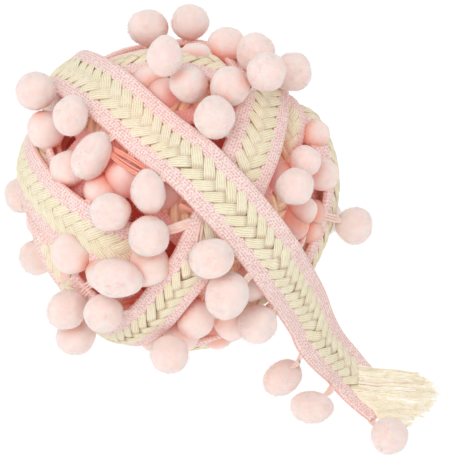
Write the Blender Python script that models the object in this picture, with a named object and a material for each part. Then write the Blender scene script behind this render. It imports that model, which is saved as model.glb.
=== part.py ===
"""Pompom fringe trim: a flat braided tape with a pompom on a short cord every 20 mm along one edge,
wound into a ball that rests on a small flat spot, with the cut end of the tape loose.

Run it with: blender --background --python part.py   (metres, +Z up)

The ball is laid out in a crown frame. The crown is the side of the ball that leans LEAN degrees from
straight up towards -Y. A place on the ball is given by its clock angle round the crown, in degrees
clockwise from the top as seen from outside, and by its drop, in degrees away from the crown.
"""

import math
from collections import namedtuple

import bmesh
import bpy
from mathutils import Vector
from mathutils.bvhtree import BVHTree

MM = 0.001

# ---------------------------------------------------------------- driving sizes

TAPE_WIDTH = 21.5 * MM
PLAIT_WIDTH = 9.4 * MM
PLAIT_THICK = 3.4 * MM
EDGE_THICK = 2.2 * MM
POMPOM_RADIUS = 7.5 * MM
CORD_RADIUS = 1.1 * MM
GAP = 0.3 * MM
CORD_OFF_EDGE = GAP * 1.6  # a cord's end leans over, so its middle starts further out than its rim
PLAIT_CROWN = 0.6 * MM  # how much thicker the plait is along its middle

CORE_RADIUS = 48.0 * MM
TAPE_SEAT = 55.5 * MM  # radius of the underside of a turn that crosses no other
LAYER = 0.9 * MM  # what one turn adds to the radius of the turn that crosses it, pressed together
LOOSE_LAYER = 5.5 * MM  # the loose end stands further off the turns that it crosses
RAMP = 17.0 * MM  # how far from a crossing a turn starts to rise
DIVE = 9.0 * MM  # a turn that goes in under others ends this much lower
DIVE_DEGREES = 24.0
SAG = 0.96  # the ball's height over its width
CENTRE = Vector((0.0, 0.0, 54.8 * MM))

LEAN = 40.0
CLOSEST = 15.1 * MM  # between two pompoms' centres

# ---------------------------------------------------------------- turns, from the inside out

# near_clock and near_drop are the point of the turn's circle that lies nearest the crown, and bow is how
# far the circle is from a great circle. start and end are measured along it from there, clockwise.
Turn = namedtuple("Turn", "name near_clock near_drop bow start end")
TURNS = (
    Turn("under", 180, 137, 0, -70, 70),
    Turn("sole", 244, 160, 0, -60, 100),
    Turn("foot", 171, 60, 0, -175, 8),
    Turn("left_rim", 242, 65, 0, -45, 130),
    Turn("right_rim", 100, 78, 0, -62, 150),
    Turn("brow", 20, 60, 0, -170, 22),
    Turn("right_cheek", 102, 51, 0, -150, -20),
    Turn("left_cheek", 231, 54, 0, 0, 150),
    Turn("chin", 198, 26, 0, -8, 200),
    Turn("slant", 118, 19, 0, -180, 180),
    Turn("last", 46, 11, 0, -255, -97),
)
HIDDEN = ("under", "sole")  # turns that run beneath the ball only
BULGING = "right_rim"  # the turn that stands off the ball along part of its length
BULGE = 3.4 * MM
BULGE_AT = -25.0  # degrees along it, where it stands off furthest
BULGE_REACH = 45.0
LOOSE_FROM = -96.7  # where the loose end takes over from the last turn, in degrees along it
LOOSE_LEAVES = 44.0  # where it leaves the ball

# The loose end's middle line past the ball, in mm, and the way its face looks.
Step = namedtuple("Step", "x y z face")
FALL = (
    Step(47.5, -45.5, 43.0, (0.74, -0.66, 0.12)),
    Step(51.5, -47.0, 31.0, (0.68, -0.60, 0.42)),
    Step(56.5, -47.0, 19.5, (0.54, -0.46, 0.70)),
    Step(62.5, -47.5, 9.5, (0.32, -0.28, 0.90)),
    Step(69.0, -51.5, 2.6, (0.10, -0.10, 0.99)),
    Step(75.5, -57.2, 0.0, (0.0, 0.0, 1.0)),
    Step(82.0, -63.8, 0.0, (0.0, 0.0, 1.0)),
)
LOOSE_STATIONS = 40
CUT_WIDTH = 0.84  # the tape's width at its cut end over its full width
NARROWS_OVER = 60.0 * MM  # over this length before the cut
CUT_SLANT = 16.0 * MM  # how much further the pompom side runs than the plain side

# ---------------------------------------------------------------- pompoms

Place = namedtuple("Place", "clock drop")

# The pompoms on the crown side that lie on top, from the deepest out: each is a piece of its own.
OUTER = tuple(
    Place(*row)
    for row in (
        (211, 16), (7, 40), (26.5, 40.5), (296, 32.5), (307, 42.5), (28, 28), (252, 21), (213, 31),
        (86, 41), (350, 84), (273, 8), (210.5, 47), (148, 57), (100, 81), (357, 40), (3.5, 83),
        (246, 118), (223, 60), (153, 37), (270, 112), (215, 71), (150, 22), (29, 60), (307, 61), (182, 57),
        (43, 63), (36.5, 43.5),
    )
)

# The pompoms between and under them, sunk in the winding; radius is from the ball's centre, in mm.
Sunk = namedtuple("Sunk", "clock drop radius")
BURIED = tuple(
    Sunk(*row)
    for row in (
        (289, 22, 51), (272, 30, 52), (287, 4, 50), (314, 36, 50), (353, 45, 52), (18, 76, 62),
        (139.5, 50, 56), (80, 48, 50), (157, 66, 57), (222, 41, 58), (199, 27, 58), (284, 45.5, 56),
        (297, 60, 62), (310, 84, 56), (75, 53.5, 60), (66, 72, 59), (82, 67, 59), (97, 58.5, 55),
        (171, 54, 58), (178, 68, 56), (259, 122, 66), (347, 52, 54), (104, 59, 51), (240, 45, 58),
        (230, 66, 52), (164, 80, 55), (150, 84, 55), (188, 82, 55), (8, 66, 56),
    )
)
FILL_RADIUS = 50.0 * MM  # the same radius for the pompoms that fill the rest of the ball
BACK_DROP = 116.0  # past this the pompoms are pieces of their own again, and before it they are sunk
FILL_TRIES = 700
FILL_OFF_TAPE = 3.5 * MM  # least distance from a pompom's centre to the edge of a turn
FILL_OFF_LOOSE = 8.5 * MM  # the same for the turn that the loose end goes on from
OUTERMOST = 80.0 * MM  # radius that a pompom starts from as it is lowered onto the ball
SETTLE_STEP = 0.3 * MM

# Pompoms and cords of the loose end: how far back from the cut end the cord leaves the tape's edge, and
# the middle of the pompom, in mm.
Drop = namedtuple("Drop", "back x y z")
DROPS = (
    Drop(52.0, 40.0, -57.0, 14.0),
    Drop(27.0, 51.0, -66.0, 6.9),
    Drop(2.5, 80.0, -79.0, 6.9),
)

# The frayed end's far line, from the plain side to the pompom side, in mm.
FRAY_TIPS = ((99.0, -45.0), (102.0, -56.0), (93.0, -67.0))
FRAY_TIP_THICK = 1.4 * MM

# ---------------------------------------------------------------- small helpers


def crown_axes():
    """Right, top and out: the crown frame's own axes."""
    lean = math.radians(LEAN)
    right = Vector((1.0, 0.0, 0.0))
    top = Vector((0.0, math.cos(lean), math.sin(lean)))
    return right, top, right.cross(top)


RIGHT, TOP, OUT = crown_axes()


def towards(clock, drop):
    """Unit vector from the ball's centre to that place."""
    c, d = math.radians(clock), math.radians(drop)
    rim = RIGHT * math.sin(c) + TOP * math.cos(c)
    return OUT * math.cos(d) + rim * math.sin(d)


def on_ball(direction, radius):
    """The point at that radius, with the ball's sag."""
    return CENTRE + Vector((direction.x, direction.y, direction.z * SAG)) * radius


def smooth_step(x):
    x = max(0.0, min(1.0, x))
    return x * x * (3 - 2 * x)


def material(name, colour, roughness):
    made = bpy.data.materials.new(name)
    made.use_nodes = True
    shader = made.node_tree.nodes["Principled BSDF"]
    shader.inputs["Base Color"].default_value = (*colour, 1.0)
    shader.inputs["Roughness"].default_value = roughness
    shader.inputs["Metallic"].default_value = 0.0
    return made


def object_of(name, mesh_in_edit, finish, where):
    mesh = bpy.data.meshes.new(name)
    mesh_in_edit.to_mesh(mesh)
    mesh_in_edit.free()
    mesh.materials.append(finish)
    made = bpy.data.objects.new(name, mesh)
    where.objects.link(made)
    return made


def bent_slab(name, lengthways, crossways, place, closed, finish, where):
    """A slab cut into a grid and bent: place turns shares of its length, width and height into a point."""
    edit = bmesh.new()
    bmesh.ops.create_grid(edit, x_segments=lengthways, y_segments=crossways, size=0.5)
    raised = bmesh.ops.extrude_face_region(edit, geom=edit.faces[:])["geom"]
    for vertex in raised:
        if isinstance(vertex, bmesh.types.BMVert):
            vertex.co.z = 1.0
    if closed:
        ends = [face for face in edit.faces if len({round(corner.co.x, 4) for corner in face.verts}) == 1]
        bmesh.ops.delete(edit, geom=ends, context="FACES_ONLY")
    for vertex in edit.verts:
        vertex.co = place(vertex.co.x + 0.5, vertex.co.y + 0.5, vertex.co.z)
    bmesh.ops.remove_doubles(edit, verts=edit.verts, dist=0.001 * MM)
    edit.normal_update()
    bmesh.ops.recalc_face_normals(edit, faces=edit.faces)
    return object_of(name, edit, finish, where)


def hide(helper):
    helper.hide_render = True
    helper.display_type = "WIRE"


# ---------------------------------------------------------------- the turns' circles


class Circle:
    """A turn's middle line on the unit ball, with how far it is lifted over the turns below it."""

    SAMPLES = 144

    def __init__(self, turn, below, layer):
        near = towards(turn.near_clock, turn.near_drop)
        bow = math.radians(turn.bow)
        self.ahead = near.cross(OUT).normalized()
        great_pole = near.cross(self.ahead)
        self.pole = great_pole * math.cos(bow) + near * math.sin(bow)
        self.near = near * math.cos(bow) - great_pole * math.sin(bow)
        self.bow = bow
        self.lifts = [self.lift_over(360.0 * k / self.SAMPLES, below, layer) for k in range(self.SAMPLES)]
        self.ease()

    def at(self, along):
        """Unit vector to the middle line, that many degrees along."""
        a = math.radians(along)
        ring = self.near * math.cos(a) + self.ahead * math.sin(a)
        return self.pole * math.sin(self.bow) + ring * math.cos(self.bow)

    def off(self, direction):
        """Angle from a direction to the middle line, in radians."""
        return abs(math.asin(max(-1.0, min(1.0, self.pole.dot(direction)))) - self.bow)

    def along(self, direction):
        return math.degrees(math.atan2(direction.dot(self.ahead), direction.dot(self.near)))

    def lift(self, along):
        place = (along % 360.0) * self.SAMPLES / 360.0
        low = int(place) % self.SAMPLES
        share = place - int(place)
        return self.lifts[low] * (1 - share) + self.lifts[(low + 1) % self.SAMPLES] * share

    def lift_over(self, along, below, layer):
        """How far the turns below push this one out there, over its whole width."""
        most = 0.0
        for other in below:
            for share in (-1.0, -0.5, 0.0, 0.5, 1.0):
                place = self.aside(along, share * TAPE_WIDTH / 2)
                off_edge = other.off(place) * TAPE_SEAT - TAPE_WIDTH / 2
                rise = 1 - smooth_step(off_edge / RAMP)
                most = max(most, (other.lift(other.along(place)) + layer) * rise)
        return most

    def ease(self):
        """Rounds off the kinks where one rise meets the next."""
        for _ in range(3):
            n = self.SAMPLES
            self.lifts = [
                max(self.lifts[k], (self.lifts[k - 1] + self.lifts[(k + 1) % n]) / 2) for k in range(n)
            ]

    def aside(self, along, across):
        """Unit vector that many metres across from the middle line, positive away from the pole."""
        middle = self.at(along)
        away = (middle * self.pole.dot(middle) - self.pole).normalized()
        turn = across / TAPE_SEAT
        return (middle * math.cos(turn) + away * math.sin(turn)).normalized()


def circles_of_turns():
    made = {}
    for turn in TURNS:
        layer = LOOSE_LAYER if turn.name == "last" else LAYER
        below = [c for name, c in made.items() if name not in HIDDEN]
        made[turn.name] = Circle(turn, below, layer)
    return made


# ---------------------------------------------------------------- the wound ball

# Height of the tape's face over its underside, across its width.
Rib = namedtuple("Rib", "across height")
SECTION = (
    Rib(-TAPE_WIDTH / 2, EDGE_THICK),
    Rib(-PLAIT_WIDTH / 2, PLAIT_THICK),
    Rib(PLAIT_WIDTH / 2, PLAIT_THICK),
    Rib(TAPE_WIDTH / 2, EDGE_THICK),
)
TURN_DEGREES = 9.5  # length of one facet of a turn
TURN_FOOT = 30.0 * MM  # a turn's solid reaches in to this radius, well inside the core


def dive(turn, along):
    """How much lower a turn runs there, near an end that goes in under others."""
    if turn.end - turn.start >= 360 or turn.name in HIDDEN:
        return 0.0
    from_end = along - turn.start if turn.name == "last" else min(along - turn.start, turn.end - along)
    return DIVE * (1 - smooth_step(from_end / DIVE_DEGREES))


def bulge(turn, along):
    """How much further out the bulging turn lies there."""
    if turn.name != BULGING:
        return 0.0
    share = min(1.0, abs(along - BULGE_AT) / BULGE_REACH)
    return BULGE * math.cos(share * math.pi / 2) ** 2


def turn_ridge(turn, circle, finish, where):
    """One turn as a radial wall whose top is the tape's face and whose foot is inside the core."""

    def place(length_share, width_share, height_share):
        rib = SECTION[round(width_share * (len(SECTION) - 1))]
        along = turn.start + (turn.end - turn.start) * length_share
        top = TAPE_SEAT + circle.lift(along) + bulge(turn, along) + rib.height - dive(turn, along)
        return on_ball(circle.aside(along, rib.across), top if height_share else TURN_FOOT)

    facets = round((turn.end - turn.start) / TURN_DEGREES)
    closed = turn.end - turn.start == 360
    hide(bent_slab(f"ridge_{turn.name}", facets, len(SECTION) - 1, place, closed, finish, where))


def ball_core(finish, where):
    edit = bmesh.new()
    bmesh.ops.create_icosphere(edit, subdivisions=3, radius=1.0)
    for vertex in edit.verts:
        vertex.co = on_ball(vertex.co.normalized(), CORE_RADIUS)
    return object_of("ball_source", edit, finish, where)


def floor_cutter(finish, where):
    side = CORE_RADIUS * 4
    depth = CORE_RADIUS
    edit = bmesh.new()
    bmesh.ops.create_cube(edit, size=1.0)
    bmesh.ops.scale(edit, verts=edit.verts, vec=(side, side, depth))
    bmesh.ops.translate(edit, verts=edit.verts, vec=(0, 0, -depth / 2))
    floor = object_of("floor_cutter", edit, finish, where)
    hide(floor)
    return floor


def wound_ball(circles, sunk, finish, where, helpers):
    """The ball as one solid: its core, the turns as ridges and the pompoms sunk in it."""
    core = ball_core(finish, helpers)
    tools = bpy.data.collections.new("ball_tools")
    helpers.children.link(tools)
    for turn in TURNS:
        turn_ridge(turn, circles[turn.name], finish, tools)
    for number, centre in enumerate(sunk):
        hide(object_of(f"bump_{number:02d}", pompom_mesh(centre), finish, tools))
    join = core.modifiers.new("join", "BOOLEAN")
    join.operation = "UNION"
    join.operand_type = "COLLECTION"
    join.collection = tools
    join.solver = "EXACT"
    cut = core.modifiers.new("flat_spot", "BOOLEAN")
    cut.operation = "DIFFERENCE"
    cut.object = floor_cutter(finish, helpers)
    cut.solver = "EXACT"
    hide(core)

    graph = bpy.context.evaluated_depsgraph_get()
    mesh = bpy.data.meshes.new_from_object(core.evaluated_get(graph))
    edit = bmesh.new()
    edit.from_mesh(mesh)
    drop_pockets(edit)
    bmesh.ops.triangulate(edit, faces=edit.faces)
    return object_of("wound_ball", edit, finish, where)


def drop_pockets(edit):
    """Takes out the walls of the pockets that the turns close off inside the ball."""
    left = set(edit.verts)
    groups = []
    while left:
        group = {left.pop()}
        edge_of_group = list(group)
        while edge_of_group:
            corner = edge_of_group.pop()
            for edge in corner.link_edges:
                other = edge.other_vert(corner)
                if other in left:
                    left.remove(other)
                    group.add(other)
                    edge_of_group.append(other)
        groups.append(group)
    outer = max(groups, key=len)
    inside = [vertex for vertex in edit.verts if vertex not in outer]
    bmesh.ops.delete(edit, geom=inside, context="VERTS")


# ---------------------------------------------------------------- pompoms


def pompom_mesh(centre):
    """A faceted ball of yarn, pressed flat where it meets the surface."""
    edit = bmesh.new()
    bmesh.ops.create_icosphere(edit, subdivisions=2, radius=POMPOM_RADIUS)
    bmesh.ops.translate(edit, verts=edit.verts, vec=centre)
    for vertex in edit.verts:
        vertex.co.z = max(vertex.co.z, 0.0)
    return edit


def is_on_turn(turn, circle, direction):
    """Whether a pompom there would lie on that turn and not beside it."""
    if turn.name in HIDDEN:
        return False
    off_tape = FILL_OFF_LOOSE if turn.name == "last" else FILL_OFF_TAPE
    past_start = (circle.along(direction) - turn.start) % 360
    reaches = turn.name == "last" or past_start < turn.end - turn.start
    return reaches and circle.off(direction) * TAPE_SEAT < TAPE_WIDTH / 2 + off_tape


def is_at_back(direction):
    return direction.angle(OUT) > math.radians(BACK_DROP)


def fill_places(circles):
    """Directions of the pompoms that fill the rest of the ball, clear of each other and of the turns."""
    taken = [towards(place.clock, place.drop) for place in OUTER + BURIED]
    shown = len(taken)
    golden = math.pi * (3 - math.sqrt(5))
    shell = CORE_RADIUS + POMPOM_RADIUS
    for k in range(FILL_TRIES):
        height = 1 - 2 * (k + 0.5) / FILL_TRIES
        rim = math.sqrt(1 - height * height)
        direction = RIGHT * rim * math.sin(k * golden) + TOP * rim * math.cos(k * golden) + OUT * height
        crowded = any(direction.angle(other) * shell < CLOSEST for other in taken)
        on_tape = any(is_on_turn(turn, circles[turn.name], direction) for turn in TURNS)
        if not crowded and not on_tape and on_ball(direction, OUTERMOST).z > POMPOM_RADIUS:
            taken.append(direction)
    return taken[shown:]


def tree_of(solid):
    corners = [vertex.co for vertex in solid.data.vertices]
    return BVHTree.FromPolygons(corners, [face.vertices[:] for face in solid.data.polygons])


def is_clear(centre, trees, placed):
    reach = POMPOM_RADIUS + GAP
    if any((centre - other).length < CLOSEST for other in placed):
        return False
    return all(tree.find_nearest(centre, reach)[0] is None for tree in trees)


def settle(direction, trees, placed):
    """Lowers a pompom straight onto what lies below it."""
    radius = OUTERMOST
    resting = on_ball(direction, radius)
    while radius > CORE_RADIUS:
        radius -= SETTLE_STEP
        lower = on_ball(direction, radius)
        if is_clear(lower, trees, placed):
            resting = lower
        elif is_clear(resting, trees, placed):
            break
    return resting


# ---------------------------------------------------------------- the loose end


class LooseEnd:
    """The path of the tape's loose end: over the last of the ball and down to the surface."""

    CONTROL_DEGREES = 6.0
    FINE = 12

    def __init__(self, circle):
        middles, faces = [], []
        count = round((LOOSE_LEAVES - LOOSE_FROM) / self.CONTROL_DEGREES)
        for k in range(count + 1):
            along = LOOSE_FROM + (LOOSE_LEAVES - LOOSE_FROM) * k / count
            direction = circle.at(along)
            middles.append(on_ball(direction, TAPE_SEAT + circle.lift(along)))
            faces.append(direction)
        for step in FALL:
            middles.append(Vector((step.x, step.y, step.z)) * MM)
            faces.append(Vector(step.face).normalized())
        self.middles, self.faces = self.smooth(middles), self.smooth(faces)
        self.runs = [0.0]
        for a, b in zip(self.middles, self.middles[1:]):
            self.runs.append(self.runs[-1] + (b - a).length)
        self.length = self.runs[-1]

    def smooth(self, points):
        """Points along a smooth curve through the given ones."""
        ends = [points[0] * 2 - points[1], *points, points[-1] * 2 - points[-2]]
        made = []
        for a, b, c, d in zip(ends, ends[1:], ends[2:], ends[3:]):
            for k in range(self.FINE):
                t = k / self.FINE
                curve = a * (-t + 2 * t**2 - t**3) + b * (2 - 5 * t**2 + 3 * t**3)
                curve += c * (t + 4 * t**2 - 3 * t**3) + d * (t**3 - t**2)
                made.append(curve / 2)
        return [*made, points[-1]]

    def between(self, values, run):
        run = min(run, self.length)
        k = 0
        while k < len(self.runs) - 2 and self.runs[k + 1] < run:
            k += 1
        share = (run - self.runs[k]) / (self.runs[k + 1] - self.runs[k])
        return values[k].lerp(values[k + 1], share)

    def frame(self, run):
        """Middle of the underside, the way to the pompom side, and the way the face looks."""
        middle = self.between(self.middles, run)
        ahead = self.between(self.middles, run + MM) - self.between(self.middles, run - MM)
        face = self.between(self.faces, run)
        to_pompoms = ahead.cross(face).normalized()
        return middle, to_pompoms, to_pompoms.cross(ahead).normalized()

    def stops(self, across):
        """How far along the path the slanting cut is, that far across the tape."""
        return self.length - CUT_SLANT * (0.5 - across / TAPE_WIDTH)

    def point(self, run, across, height):
        narrow = 1 - (1 - CUT_WIDTH) * smooth_step(1 - (self.length - run) / NARROWS_OVER)
        middle, to_pompoms, face = self.frame(run)
        made = middle + to_pompoms * across * narrow + face * height
        return Vector((made.x, made.y, max(made.z, 0.0)))


def loose_strip(name, path, low, high, thick, crown, finish, where):
    """One strip of the loose end, between two distances across the tape."""

    def place(length_share, width_share, height_share):
        across = low + (high - low) * width_share
        height = (thick + crown * (1 - abs(2 * width_share - 1))) * height_share
        return path.point(path.stops(across) * length_share, across, height)

    return bent_slab(name, LOOSE_STATIONS, 2 if crown else 1, place, False, finish, where)


def frayed_end(path, finish, where):
    """The plait's threads, spread past the cut."""

    def place(length_share, width_share, height_share):
        across = (width_share - 0.5) * (PLAIT_WIDTH - 2 * GAP)
        root = path.point(path.stops(across), across, 0.0)
        tip_x, tip_y = FRAY_TIPS[round(width_share * (len(FRAY_TIPS) - 1))]
        tip = Vector((tip_x, tip_y, 0.0)) * MM
        start = root + (tip - root).normalized() * GAP * 2
        thick = PLAIT_THICK + (FRAY_TIP_THICK - PLAIT_THICK) * length_share
        return start.lerp(tip, length_share) + Vector((0, 0, thick * height_share))

    return bent_slab("frayed_end", 2, len(FRAY_TIPS) - 1, place, False, finish, where)


def drop_cord(name, path, drop, finish, where):
    """The short cord from the tape's edge to a pompom of the loose end."""
    run = path.length - drop.back * MM
    edge = TAPE_WIDTH / 2
    outs = (CORD_OFF_EDGE, CORD_OFF_EDGE + CORD_RADIUS)
    starts = [path.point(run, edge + out, EDGE_THICK / 2) for out in outs]
    for start in starts:
        start.z = max(start.z, CORD_RADIUS + GAP)
    pompom = Vector((drop.x, drop.y, drop.z)) * MM
    end = pompom + (starts[1] - pompom).normalized() * (POMPOM_RADIUS + GAP)
    curve = bpy.data.curves.new(name, "CURVE")
    curve.dimensions = "3D"
    curve.bevel_depth = CORD_RADIUS
    curve.bevel_resolution = 2
    curve.use_fill_caps = True
    line = curve.splines.new("POLY")
    bend = starts[1] + (starts[1] - starts[0]).normalized() * CORD_RADIUS
    route = [starts[0]]
    for step in range(4):
        t = step / 3
        route.append(starts[1].lerp(bend, t).lerp(bend.lerp(end, t), t))
    line.points.add(len(route) - 1)
    for point, place in zip(line.points, route):
        point.co = (*place, 1.0)
    curve.materials.append(finish)
    cord = bpy.data.objects.new(name, curve)
    where.objects.link(cord)


# ---------------------------------------------------------------- the whole trim


def clear_scene():
    for old in list(bpy.data.objects):
        bpy.data.objects.remove(old, do_unlink=True)


def build():
    clear_scene()
    trim = bpy.data.collections.new("pompom_fringe_trim")
    helpers = bpy.data.collections.new("helpers")
    bpy.context.scene.collection.children.link(trim)
    bpy.context.scene.collection.children.link(helpers)
    pink = material("pink_knit", (0.93, 0.66, 0.62), 0.9)
    cream = material("cream_cotton", (0.90, 0.84, 0.62), 0.9)
    blush = material("blush_yarn", (0.96, 0.72, 0.66), 0.95)

    circles = circles_of_turns()
    fills = fill_places(circles)
    back = [direction for direction in fills if is_at_back(direction)]
    sunk = [on_ball(towards(place.clock, place.drop), place.radius * MM) for place in BURIED]
    sunk += [on_ball(direction, FILL_RADIUS) for direction in fills if not is_at_back(direction)]
    ball = wound_ball(circles, sunk, cream, trim, helpers)

    path = LooseEnd(circles["last"])
    half = TAPE_WIDTH / 2
    seam = PLAIT_WIDTH / 2
    edge_from, plait_to = seam + GAP / 2, seam - GAP / 2
    strips = (
        loose_strip("loose_edge_plain", path, -half, -edge_from, EDGE_THICK, 0.0, pink, trim),
        loose_strip("loose_plait", path, -plait_to, plait_to, PLAIT_THICK, PLAIT_CROWN, cream, trim),
        loose_strip("loose_edge_pompoms", path, edge_from, half, EDGE_THICK, 0.0, pink, trim),
    )
    frays = frayed_end(path, cream, trim)
    trees = [tree_of(solid) for solid in (ball, *strips, frays)]
    placed = []
    for number, drop in enumerate(DROPS, start=1):
        centre = Vector((drop.x, drop.y, drop.z)) * MM
        object_of(f"loose_pompom_{number}", pompom_mesh(centre), blush, trim)
        drop_cord(f"loose_cord_{number}", path, drop, pink, trim)
        placed.append(centre)
    shown = [towards(place.clock, place.drop) for place in OUTER]
    for number, direction in enumerate([*shown, *back], start=1):
        centre = settle(direction, trees, placed)
        placed.append(centre)
        object_of(f"pompom_{number:02d}", pompom_mesh(centre), blush, trim)


build()
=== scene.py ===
"""The looks of a pompom fringe trim wound into a ball: a cotton plait between two pink knitted edges,
with a soft yarn pompom on a short cord every 20 mm along one edge, and a loose, frayed end.

Lengths are in metres, written as millimetres times MM. A place on the tape is (run, across, height): how
far along its middle line, how far from that line towards the pompoms, and how far above its underside.
"""

import random
from collections import namedtuple
from math import asin, atan2, cos, degrees, pi, radians, sin, sqrt

import bmesh
import bpy
import numpy as np
from mathutils import Matrix, Vector, noise


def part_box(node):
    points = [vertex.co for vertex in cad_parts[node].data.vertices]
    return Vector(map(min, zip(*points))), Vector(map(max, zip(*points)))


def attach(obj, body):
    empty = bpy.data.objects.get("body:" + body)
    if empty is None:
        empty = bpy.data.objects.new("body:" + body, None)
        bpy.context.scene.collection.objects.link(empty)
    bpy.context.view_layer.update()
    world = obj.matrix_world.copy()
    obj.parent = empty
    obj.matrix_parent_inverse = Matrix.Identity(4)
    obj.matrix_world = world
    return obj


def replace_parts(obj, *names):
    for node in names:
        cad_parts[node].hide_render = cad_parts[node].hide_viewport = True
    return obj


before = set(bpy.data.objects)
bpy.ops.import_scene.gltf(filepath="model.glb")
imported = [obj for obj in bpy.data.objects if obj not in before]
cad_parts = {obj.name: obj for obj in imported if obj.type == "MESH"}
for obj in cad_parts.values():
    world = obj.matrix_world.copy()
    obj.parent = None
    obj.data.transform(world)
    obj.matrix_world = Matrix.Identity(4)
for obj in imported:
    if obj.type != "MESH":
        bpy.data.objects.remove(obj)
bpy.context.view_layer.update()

MM = 0.001
DICE = random.Random(7)
DICE_ROWS = np.random.default_rng(11)

# -------- the ball, as its solids are laid out

TAPE_WIDTH = 21.5 * MM
PLAIT_WIDTH = 9.4 * MM
EDGE_THICK = 2.2 * MM
POMPOM_RADIUS = 7.9 * MM
CORE_RADIUS = 48.0 * MM
TAPE_SEAT = 55.5 * MM  # from the middle of the ball to the underside of the lowest turns
LAYER = 0.9 * MM  # how much further out a turn lies where it crosses another
LOOSE_LAYER = 5.5 * MM  # the same for the last turn, which lies loosely
RAMP = 17.0 * MM  # over which a turn comes up to one that it crosses
DIVE = 12.5 * MM  # how far a turn goes down into the ball at its ends
DIVE_DEGREES = 24.0
LAST_DIVE = 18.0 * MM  # the same for the last turn, which comes from further in
LAST_DIVE_DEGREES = 34.0
SAG = 0.96  # the ball's height as a share of its width
CENTRE = Vector((0.0, 0.0, 54.8 * MM))
LEAN = 40.0  # degrees that the crown leans over towards the front
CLOSEST = 15.1 * MM  # between two pompoms that fill the ball
FLOOR_GAP = 0.15 * MM

Turn = namedtuple("Turn", "name near_clock near_drop bow start end")
TURNS = (
    Turn("under", 180, 137, 0, -70, 70),
    Turn("sole", 244, 160, 0, -60, 100),
    Turn("foot", 171, 60, 0, -175, 8),
    Turn("left_rim", 242, 65, 0, -45, 130),
    Turn("right_rim", 100, 78, 0, -62, 150),
    Turn("brow", 20, 60, 0, -170, 22),
    Turn("right_cheek", 102, 51, 0, -150, -20),
    Turn("left_cheek", 231, 54, 0, 0, 150),
    Turn("chin", 198, 26, 0, -8, 200),
    Turn("slant", 118, 19, 0, -180, 180),
    Turn("last", 46, 11, 0, -255, -97),
)
HIDDEN = ("under", "sole")
BULGING = "right_rim"  # the turn that stands off the ball along a stretch of its length
BULGE = 3.4 * MM
BULGE_AT = -25.0
BULGE_REACH = 45.0
LOOSE_FROM = -96.7  # degrees along the last turn, where the loose stretch goes on
LOOSE_LEAVES = 44.0  # and where it leaves the ball

# Turns deeper in the ball, seen only down the gaps between the others.
INNER_TURNS = (
    Turn("deep_one", 226, 2, 0, -180, 180),
    Turn("deep_two", 120, 44, 0, -180, 180),
    Turn("deep_three", 330, 38, 0, -180, 180),
    Turn("deep_four", 40, 74, 0, -180, 180),
)
INNER_SINK = 6.0 * MM

# The loose end's middle line, in mm, from the ball down to the floor and along it, and the way it faces.
Step = namedtuple("Step", "x y z face")
FALL = (
    Step(47.5, -45.5, 43.0, (0.74, -0.66, 0.12)),
    Step(51.5, -47.0, 31.0, (0.68, -0.60, 0.42)),
    Step(56.5, -47.0, 19.5, (0.54, -0.46, 0.70)),
    Step(62.5, -47.5, 9.5, (0.32, -0.28, 0.90)),
    Step(69.0, -51.5, 2.6, (0.10, -0.10, 0.99)),
    Step(75.5, -57.2, 0.0, (0.0, 0.0, 1.0)),
    Step(82.0, -63.8, 0.0, (0.0, 0.0, 1.0)),
)
CUT_WIDTH = 0.84  # width of the tape at its cut, as a share of the whole
NARROWS_OVER = 60.0 * MM
CUT_SLANT = 20.0 * MM

# Places on the ball, in the crown's frame: clock goes round from its top, drop down from its middle.
Place = namedtuple("Place", "clock drop")
OUTER = tuple(
    Place(*row)
    for row in (
        (211, 16), (7, 40), (26.5, 40.5), (296, 32.5), (307, 42.5), (28, 28), (252, 21), (213, 31),
        (86, 41), (350, 84), (273, 8), (210.5, 47), (148, 57), (100, 81), (357, 40), (3.5, 83),
        (246, 118), (223, 60), (153, 37), (270, 112), (215, 71), (150, 22), (29, 60), (307, 61), (182, 57),
        (43, 63), (36.5, 43.5),
    )
)
# Sunk pompoms; some are smaller or larger than the others, or show further out, in mm.
Sunk = namedtuple("Sunk", "clock drop radius size out", defaults=(1.0, 0.0))
BURIED = tuple(
    Sunk(*row)
    for row in (
        (289, 22, 51), (272, 30, 52), (287, 4, 50), (314, 36, 50), (353, 45, 52), (18, 76, 62),
        (139.5, 50, 56), (80, 48, 50), (157, 66, 57), (222, 41, 58), (199, 27, 58, 1.06, 1.5),
        (284, 45.5, 56), (297, 60, 62), (310, 84, 56), (75, 53.5, 60, 0.84, 1.0), (66, 72, 59, 0.76, 1.0),
        (82, 67, 59, 0.90, 0.5), (97, 58.5, 55, 0.80), (171, 54, 58), (178, 68, 56), (259, 122, 66),
        (347, 52, 54), (104, 59, 51), (240, 45, 58, 1.12, 2.5), (230, 66, 52), (164, 80, 55),
        (150, 84, 55), (188, 82, 55), (8, 66, 56),
    )
)
# Small ones in the looks alone, tucked in beside the right cheek's edge.
TUCKED = (Sunk(98, 68, 55.0, 0.78), Sunk(105, 68, 55.0, 0.78))
FILL_RADIUS = 50.0 * MM
BACK_DROP = 116.0  # past this drop the pompoms are pieces of their own
FILL_TRIES = 700
FILL_OFF_TAPE = 3.5 * MM  # from a turn's rim to the middle of a pompom that fills the ball
FILL_OFF_LOOSE = 8.5 * MM  # the same for the last turn
OUTERMOST = 80.0 * MM

# Pompoms of the loose end: how far back from its end each hangs, its shape and the way it lies.
Drop = namedtuple("Drop", "back stretch squash turn")
DROPS = (
    Drop(52.0 * MM, 1.15, 0.90, 42.0),
    Drop(27.0 * MM, 1.18, 0.91, -6.0),
    Drop(2.5 * MM, 1.0, 1.0, 0.0),
)

# -------- the crown frame


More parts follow.
